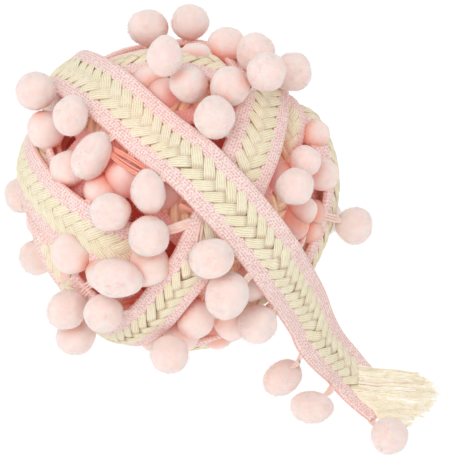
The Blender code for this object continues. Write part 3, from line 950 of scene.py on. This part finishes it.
def fill_places():
    """Directions of the pompoms that fill the rest of the ball, clear of each other and of the turns."""
    taken = [towards(place.clock, place.drop) for place in OUTER + BURIED]
    shown = len(taken)
    golden = pi * (3 - sqrt(5))
    shell = CORE_RADIUS + 7.5 * MM
    for k in range(FILL_TRIES):
        height = 1 - 2 * (k + 0.5) / FILL_TRIES
        rim = sqrt(1 - height * height)
        direction = RIGHT * rim * sin(k * golden) + TOP * rim * cos(k * golden) + OUT * height
        crowded = any(direction.angle(other) * shell < CLOSEST for other in taken)
        on_tape = any(is_on_turn(turn, direction) for turn in TURNS)
        if not crowded and not on_tape and on_ball(direction, OUTERMOST).z > 7.5 * MM:
            taken.append(direction)
    return taken[shown:]


# -------- building the ball


def dress_turn(turn, route, template, threads, dark, step):
    """The plait of a turn, the cloth under it and its two knitted edges."""
    length = route.length
    strands = plait_strands(route, 0.0, length, template, threads, dark)
    ground = ground_band(route, 0.0, length, bottom=0.3 * MM, top=2.2 * MM, step=step)
    piece(f"turn_{turn.name}_plait", [strands, ground], CREAM)
    edges = [knitted_edge(route, 0.0, length, side) for side in (-1, 1)]
    piece(f"turn_{turn.name}_edges", edges, PINK)


EVEN_DARK = ((0.0, END_DARK),)  # the same all along a turn
routes = {}
for number, turn in enumerate(TURNS):
    route = route_of_turn(number, turn, CIRCLES[turn.name])
    if turn.name == "slant":
        route.pinches = [SLANT_PINCH]
    routes[turn.name] = route
    dress_turn(turn, route, FINE_STRAND, THREADS, TURN_DARK.get(turn.name, EVEN_DARK), step=3 * MM)

for number, turn in enumerate(INNER_TURNS):
    route = route_of_turn(number, turn, Circle(turn, [], 0.0), sink=INNER_SINK)
    dress_turn(turn, route, PLAIN_STRAND, 1, EVEN_DARK, step=4 * MM)


def inner_winding():
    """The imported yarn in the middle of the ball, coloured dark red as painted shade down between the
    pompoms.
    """
    edit = bmesh.new()
    bmesh.ops.create_icosphere(edit, subdivisions=5, radius=1.0)
    for vertex in edit.verts:
        way = vertex.co.normalized()
        rough = noise.noise(way * 5.0) * 1.6 + noise.noise(way * 14.0) * 0.7
        vertex.co = on_ball(way, CORE_RADIUS - 2.0 * MM + rough * MM)
        vertex.co.z = max(vertex.co.z, FLOOR_GAP)
    mesh = mesh_of(edit, "inner_winding")
    return piece("inner_winding", [mesh], PAINTED_SHADE_CORE)


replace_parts(inner_winding(), "wound_ball")

# -------- the loose end

loose = route_of_loose_end(CIRCLES["last"])


def cut_at(across):
    """How far along the slanting cut is, that far across the tape."""
    return loose.length - CUT_SLANT * (0.5 - across / TAPE_WIDTH)


LAST_STRAND = 12.0 * MM  # how far from the loose end the last strands start
LOOSE_START = -0.8 * MM  # it starts a little way back, over the end of the last turn
EDGE_MIDDLE = 8.5 * MM  # from the tape's middle line to the middle of an edge


def loose_end():
    ground = ground_band(loose, LOOSE_START, cut_at(0.0), bottom=0.1 * MM, top=2.1 * MM, step=2 * MM)
    sheet = piece("loose_tape_ground", [ground], CREAM)
    stop = loose.length - LAST_STRAND
    strands = plait_strands(loose, -PLAIT_PITCH / 2, stop, FINE_STRAND, THREADS, LOOSE_DARK)
    plait = piece("loose_tape_plait", [strands], CREAM)
    edges = [knitted_edge(loose, LOOSE_START, cut_at(side * EDGE_MIDDLE), side) for side in (-1, 1)]
    plain = piece("loose_tape_edge_plain", edges[:1], PINK)
    carrying = piece("loose_tape_edge_pompoms", edges[1:], PINK)
    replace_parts(plait, "loose_plait")
    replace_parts(plain, "loose_edge_plain")
    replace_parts(carrying, "loose_edge_pompoms")
    return sheet, [plait, plain, carrying]


loose_sheet, loose_pieces = loose_end()

# -------- the frayed end

BUNDLES = 17  # of threads that stay together for a while
THREADS_IN_BUNDLE = 17
# The fan's far ends on the floor, in mm, from the plain side to the pompom side.
FRAY_TIPS = ((95.0, -45.5), (102.0, -50.5), (102.0, -58.5), (96.0, -65.0), (90.0, -70.0))
FRAY_FEET = (-9.2 * MM, 9.0 * MM)  # across the tape, on the plain side and on the pompom side


def fray_tip(share):
    """The far end of the fan, from the plain side to the pompom side."""
    place = share * (len(FRAY_TIPS) - 1)
    low = min(int(place), len(FRAY_TIPS) - 2)
    a, b = Vector((*FRAY_TIPS[low], 0.0)), Vector((*FRAY_TIPS[low + 1], 0.0))
    return a.lerp(b, place - low) * MM


def stray_way(size):
    return Vector((DICE.gauss(0, size), DICE.gauss(0, size), 0.0))


def fray_line(share, tip_share, reach, curl, bundle_sway):
    """One thread, off the last strands of the plait, over the cut and out to the fan's far end."""
    across = FRAY_FEET[0] + (FRAY_FEET[1] - FRAY_FEET[0]) * share
    back = DICE.uniform(4.0, 9.0) * MM
    tall = DICE.uniform(2.1, 3.3) * MM
    aside = [min(across + back * part, PLAIT_WIDTH / 2 + 1.0 * MM) for part in (0.85, 0.4)]
    line = [
        loose.point(cut_at(across) - back, aside[0], tall - 1.2 * MM),
        loose.point(cut_at(across) - back * 0.45, aside[1], tall + 0.3 * MM),
    ]
    leaves = loose.point(cut_at(across) + 1.0 * MM, across - 1.2 * MM, tall * 0.9)
    line.append(leaves)
    tip = leaves.lerp(fray_tip(min(1.0, max(0.0, tip_share))), reach)
    out = (tip - leaves).normalized()
    sway = Vector((-out.y, out.x, 0.0))
    low = DICE.uniform(0.2, 1.5) * MM
    for t in (0.25, 0.5, 0.75, 1.0):
        place = leaves.lerp(tip, t) + sway * bundle_sway * sin(pi * t) + stray_way(curl * t)
        place.z = max(0.25 * MM, leaves.z * (1 - t) ** 1.3 + low * min(1.0, 2 * t))
        line.append(place)
    return smooth_line(line, 4)


def frayed_threads(name, shares, count, thick, curl, material):
    """Bundles of loose threads, one bundle for each share of the way across the fan."""
    lines = []
    for share in shares:
        bundle_sway = DICE.gauss(0, 0.9) * MM
        bundle_tip = share + DICE.gauss(0, 0.035)
        bundle_reach = DICE.uniform(0.80, 0.98)
        for _ in range(count):
            foot = min(1.0, max(0.0, share + DICE.gauss(0, 0.035)))
            reach = bundle_reach * min(1.06, 1.0 - abs(DICE.gauss(0, 0.12)) + 0.04)
            lines.append(fray_line(foot, bundle_tip + DICE.gauss(0, 0.05), reach, curl, bundle_sway))
    radii = [(DICE.uniform(0.85, 1.15) * thick, 0.5 * thick) for _ in lines]
    return piece(name, [thread_mesh(lines, radii, rows=16, sides=4)], material)


def fan_shares(count):
    return [(number + 0.5) / count for number in range(count)]


frays = frayed_threads("frayed_threads", fan_shares(BUNDLES), THREADS_IN_BUNDLE, 0.24 * MM, 0.28 * MM, FRAY)
wisps = frayed_threads("frayed_wisps", fan_shares(9), 5, 0.10 * MM, 0.75 * MM, FRAY)
pink_frays = frayed_threads("frayed_pink_threads", (0.30, 0.42), 2, 0.22 * MM, 0.4 * MM, CORD)
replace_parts(frays, "frayed_end")

# -------- pompoms and their cords

RIM_IN = 0.6 * MM  # how far in from the tape's rim a cord is sewn
RIMS = [
    route.point(run, TAPE_WIDTH / 2 - RIM_IN, 1.2 * MM)
    for route in [*routes.values(), loose]
    for run in np.arange(6 * MM, route.length - 2 * MM, 1 * MM)
]


def nearest_rim(centre):
    """Where the closest pompom edge of the tape is."""
    return min(RIMS, key=lambda place: (place - centre).length)


def cord_strand(rim, centre, sideways):
    """A short bowed line from the tape's rim into a pompom."""
    end = centre + (rim - centre).normalized() * (POMPOM_RADIUS - 1.5 * MM)
    out = (rim - CENTRE).normalized() * (rim - end).length * 0.12
    line = []
    for k in range(7):
        t = k / 6
        line.append(rim.lerp(end, t) + (out + sideways * 0.6) * sin(pi * t) + sideways * (1 - t))
    return line


def cord_strands(rim, centre, sideways, apart):
    """The lines of a cord's three strands, that many mm apart at the rim."""
    return [cord_strand(rim, centre, sideways * off * MM) for off in (-apart, 0.0, apart)]


CORD_REACH = 21 * MM  # from a pompom's middle to the rim, past which its cord doesn't show
CORDLESS = (25,)  # pompoms of that number, on the ball and sunk in it, whose cord goes in under a neighbour
cord_lines = []


def hang(centre, number):
    """The way a pompom's cord leaves it, with the cord's lines added where the tape is near."""
    rim = nearest_rim(centre)
    away = rim - centre
    if away.length > CORD_REACH or number in CORDLESS:
        return (CENTRE - centre).normalized()
    if away.length > POMPOM_RADIUS * 0.9:
        cord_lines.extend(cord_strands(rim, centre, away.cross(centre - CENTRE).normalized(), 0.9))
    return away.normalized()


def seat_of(place):
    """The middle of a sunk pompom."""
    seat = on_ball(towards(place.clock, place.drop), place.radius * MM)
    return seat + (seat - CENTRE).normalized() * place.out * MM


def middle_of(node):
    low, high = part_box(node)
    return (low + high) / 2


# Pompoms that are pulled out of round: the way that their cord side points, clockwise from the top of the
# crown's side, how far they are drawn out along it and across it, and how far they have shifted.
Pulled = namedtuple("Pulled", "clock stretch squash right up")
ROUND = Pulled(0, 1.0, 1.0, 0.0, 0.0)
PULLED = {
    1: Pulled(0, 1.02, 1.02, 1.0, 1.0),
    4: Pulled(30, 1.32, 0.90, 0.4, -0.6),
    5: Pulled(15, 1.06, 0.92, 0.8, 0.0),
    6: Pulled(0, 1.06, 1.04, -0.9, -1.4),
    7: Pulled(80, 1.04, 0.98, 0.8, 1.2),
    8: Pulled(100, 1.26, 1.03, -0.4, 0.8),
    10: Pulled(90, 1.14, 0.98, 0.0, 0.0),
    11: Pulled(350, 1.06, 0.86, 0.4, 0.4),
    15: Pulled(5, 0.99, 0.90, -0.6, 0.4),
    16: Pulled(90, 1.05, 0.98, 0.6, -1.0),
    19: Pulled(20, 1.22, 1.08, 0.0, 0.0),
    22: Pulled(80, 1.16, 1.02, 0.0, 0.0),
}

pompom_nodes = [node for node in sorted(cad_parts) if node.startswith("pompom_")]
pulls = [PULLED.get(int(node[-2:]), ROUND) for node in pompom_nodes]
seats = [
    middle_of(node) + (RIGHT * pull.right + TOP * pull.up) * MM for node, pull in zip(pompom_nodes, pulls)
]
sunk = [(seat_of(place), place.size) for place in BURIED]
sunk += [(on_ball(direction, FILL_RADIUS), 1.0) for direction in fill_places() if not is_at_back(direction)]


def things_near():
    """Balls of yarn and lumps of tape next to the pompoms, that give them painted shade in the creases:
    rows of middle and radius.
    """
    rows = [(*centre, YARN_RADIUS) for centre in [*seats, *(centre for centre, _ in sunk)]]
    for route in routes.values():
        for run in np.arange(0.0, route.length, 3 * MM):
            for share in (-0.8, 0.0, 0.8):
                rows.append((*route.point(run, share * TAPE_WIDTH / 2, 1.0 * MM), 1.0 * MM))
    return np.array(rows)


NEIGHBOURS = things_near()

for node, centre, pull in zip(pompom_nodes, seats, pulls):
    number = int(node[-2:])
    cord_way = hang(centre, number)
    if number in PULLED:
        turn = radians(pull.clock)
        cord_way = RIGHT * sin(turn) + TOP * cos(turn)
    mesh = pompom_at(centre, cord_way, number, pull.stretch, pull.squash, NEIGHBOURS)
    made = piece(f"{node}_yarn", [mesh], BLUSH)
    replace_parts(made, node)

sunk_meshes = []
for k, (centre, size) in enumerate(sunk):
    sunk_meshes.append(pompom_at(centre, hang(centre, k), k, size, size, NEIGHBOURS, SUNK_POMPOMS))
for k, tucked in enumerate(TUCKED):
    centre, size = seat_of(tucked), tucked.size
    inwards = (CENTRE - centre).normalized()
    sunk_meshes.append(pompom_at(centre, inwards, k, size, size, NEIGHBOURS, SUNK_POMPOMS))
piece("sunk_pompoms_yarn", sunk_meshes, BLUSH)

loose_cord_lines = []
for number, drop in enumerate(DROPS, start=1):
    centre = middle_of(f"loose_pompom_{number}")
    rim = loose.point(loose.length - drop.back, TAPE_WIDTH / 2 - RIM_IN, 1.1 * MM)
    long_way = Matrix.Rotation(radians(drop.turn), 3, "Z") @ Vector((1.0, 0.0, 0.0))
    cord_way = (rim - centre).normalized() if number == 3 else long_way
    mesh = pompom_at(centre, cord_way, number, drop.stretch, drop.squash)
    made = piece(f"loose_pompom_{number}_yarn", [mesh], BLUSH)
    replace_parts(made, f"loose_pompom_{number}")
    sideways = (rim - centre).cross(Vector((0, 0, 1))).normalized()
    loose_cord_lines.extend(cord_strands(rim, centre, sideways, 0.8))

CORD_THICK = 0.48 * MM  # radius of each of a cord's three strands


def cords(name, lines):
    radii = [(CORD_THICK, CORD_THICK)] * len(lines)
    return piece(name, [thread_mesh(lines, radii, rows=8, sides=6)], CORD)


ball_cords = cords("pompom_cords", cord_lines)
loose_cords = cords("loose_cords", loose_cord_lines)
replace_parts(loose_cords, "loose_cord_1", "loose_cord_2", "loose_cord_3")

# Loops and ends of yarn that lie in the gaps between the turns: from one place to another, that far out, so
# many threads over that width, each that thick, and how much painted shade they have.
Bundle = namedtuple("Bundle", "clock drop to_clock to_drop out threads width thick warm")
LOOSE_YARN = (
    Bundle(305, 29, 312, 9, 57.5, 6, 5.5, 0.42, 0.9),
    Bundle(150, 4, 121, 17, 58.0, 3, 1.6, 0.42, 0.7),
    Bundle(195, 13, 145, 11, 60.5, 4, 3.2, 0.62, 0.05),
    Bundle(135, 13, 160, 22, 62.0, 2, 1.6, 0.62, 0.05),
    Bundle(115, 41, 128, 42, 62.0, 2, 1.6, 0.5, 0.1),
)


def yarn_bundle(bundle):
    """Threads side by side from one place in the ball to another, each with a slack of its own."""
    start, end = towards(bundle.clock, bundle.drop), towards(bundle.to_clock, bundle.to_drop)
    aside = (end - start).cross(start).normalized()
    lines = []
    for number in range(bundle.threads):
        offset = (2 * (number + 0.5) / bundle.threads - 1) * bundle.width / 2 * MM
        slack = DICE.uniform(-0.6, 0.6) * MM
        line = []
        for k in range(9):
            t = k / 8
            place = on_ball(start.lerp(end, t).normalized(), bundle.out * MM)
            bow = sin(pi * t)
            place += aside * (offset * (0.7 + 0.3 * bow) + slack * bow) + place.normalized() * slack * 0.5
            line.append(place)
        lines.append(line)
    mesh = thread_mesh(lines, [(bundle.thick * MM, bundle.thick * MM)] * len(lines), rows=12, sides=6)
    # Painted shade, as in the pompoms' creases.
    set_attribute(mesh, "painted_crease_shade", np.full(len(mesh.vertices), bundle.warm))
    return mesh


loops = piece("loops_of_yarn", [yarn_bundle(bundle) for bundle in LOOSE_YARN], CORD)

# -------- floor, light and camera

FLOOR_GLOW = 0.93
SKY_LIGHT = 0.80
KEY_PLACE = (-0.22, -0.42, 0.80)
KEY_WIDTH = 0.5
KEY_WATTS = 2.3
CAMERA_AWAY = 0.7
LENS_LENGTH = 140.0
LOOK_RIGHT = 18.1 * MM  # from the middle of the ball
LOOK_DOWN = 15.0 * MM


def floor():
    """A wide pale floor that stays white."""
    edit = bmesh.new()
    bmesh.ops.create_grid(edit, x_segments=1, y_segments=1, size=6.0)
    mesh = mesh_of(edit, "floor")
    finish = Finish("pale_floor", 0.9)
    finish.tune({"Emission Color": (1.0, 1.0, 1.0, 1.0), "Emission Strength": FLOOR_GLOW})
    grain = finish.spread(finish.noise(3.0), 0.0, 1.0, 0.14, 0.16)
    mesh.materials.append(finish.colour(finish.mix(grain, (0.0, 0.0, 0.0), (1.0, 1.0, 1.0))))
    made = in_scene("floor", mesh)


def studio():
    """White light from all round, with one soft lamp at the front left."""
    world = bpy.data.worlds.new("studio")
    world.use_nodes = True
    back = world.node_tree.nodes["Background"]
    back.inputs["Color"].default_value = (1.0, 1.0, 1.0, 1.0)
    back.inputs["Strength"].default_value = SKY_LIGHT
    bpy.context.scene.world = world
    lamp = bpy.data.lights.new("key", "AREA")
    lamp.shape = "DISK"
    lamp.size = KEY_WIDTH
    lamp.energy = KEY_WATTS
    made = in_scene("key", lamp)
    made.location = KEY_PLACE
    made.rotation_mode = "QUATERNION"
    made.rotation_quaternion = (Vector(KEY_PLACE) - CENTRE).to_track_quat("Z", "Y")
    bpy.context.scene.view_settings.view_transform = "Standard"


def camera():
    """It looks straight down on the crown, a little to the right of the ball's middle and below it."""
    lens = bpy.data.cameras.new("camera")
    lens.sensor_fit = "VERTICAL"
    lens.sensor_height = 36.0
    lens.lens = LENS_LENGTH
    lens.clip_start = 0.01
    made = in_scene("camera", lens)
    made.location = CENTRE + RIGHT * LOOK_RIGHT - TOP * LOOK_DOWN + OUT * CAMERA_AWAY
    made.rotation_euler = (radians(LEAN), 0.0, 0.0)
    bpy.context.scene.camera = made


floor()
studio()
camera()
